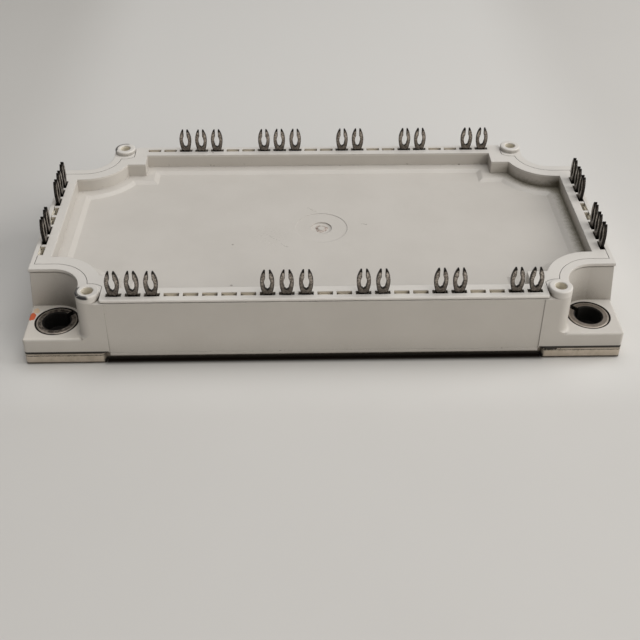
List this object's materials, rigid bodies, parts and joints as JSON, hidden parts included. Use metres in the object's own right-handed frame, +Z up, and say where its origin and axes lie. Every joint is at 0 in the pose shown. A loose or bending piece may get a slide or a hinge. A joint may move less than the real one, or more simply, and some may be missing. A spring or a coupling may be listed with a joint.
{
  "type": "igbt module",
  "caption": "Flat power module: a moulded frame with a tray-shaped lid on a metal base plate, fork-shaped press-fit pins on all four sides and screw holes in the corner ears.",
  "frame": {"origin": "centre of the base plate's underside", "axes": "+X along the module, +Y across it, +Z up through the lid"},
  "size_m": [0.122, 0.062, 0.0217],
  "materials": {
    "base_plate": "nickel-plated copper, satin",
    "housing": "moulded, fine matt grain",
    "lid": "moulded, fine matt grain",
    "bush": "rolled steel, plated",
    "pin": "tin-plated bronze, stamped",
    "solder": "dull solder",
    "copper": "bonded copper, matt",
    "ceramic": "white alumina ceramic",
    "chip": "metallised silicon",
    "sensor": "dark ceramic body",
    "wire": "drawn aluminium",
    "gel": "clear silicone gel"
  },
  "bodies": {
    "root": {"base_plate": "base_plate", "housing": "housing", "lid": "lid", "bush_front_left": "bush", "bush_front_right": "bush", "bush_back_right": "bush", "bush_back_left": "bush", "pin_front_01": "pin", "pin_front_02": "pin", "pin_front_03": "pin", "pin_front_04": "pin", "pin_front_05": "pin", "pin_front_06": "pin", "pin_front_07": "pin", "pin_front_08": "pin", "pin_front_09": "pin", "pin_front_10": "pin", "pin_front_11": "pin", "pin_front_12": "pin", "pin_right_01": "pin", "pin_right_02": "pin", "pin_right_03": "pin", "pin_right_04": "pin", "pin_right_05": "pin", "pin_right_06": "pin", "pin_back_01": "pin", "pin_back_02": "pin", "pin_back_03": "pin", "pin_back_04": "pin", "pin_back_05": "pin", "pin_back_06": "pin", "pin_back_07": "pin", "pin_back_08": "pin", "pin_back_09": "pin", "pin_back_10": "pin", "pin_back_11": "pin", "pin_back_12": "pin", "pin_left_01": "pin", "pin_left_02": "pin", "pin_left_03": "pin", "pin_left_04": "pin", "pin_left_05": "pin", "solder_left": "solder", "back_copper_left": "copper", "ceramic_left": "ceramic", "circuit_copper_left": "copper", "solder_middle": "solder", "back_copper_middle": "copper", "ceramic_middle": "ceramic", "circuit_copper_middle": "copper", "solder_right": "solder", "back_copper_right": "copper", "ceramic_right": "ceramic", "circuit_copper_right": "copper", "igbt_chips": "chip", "diode_chips": "chip", "thermistor": "sensor", "bond_wires": "wire", "silicone_gel": "gel"}
  },
  "joints": []
}
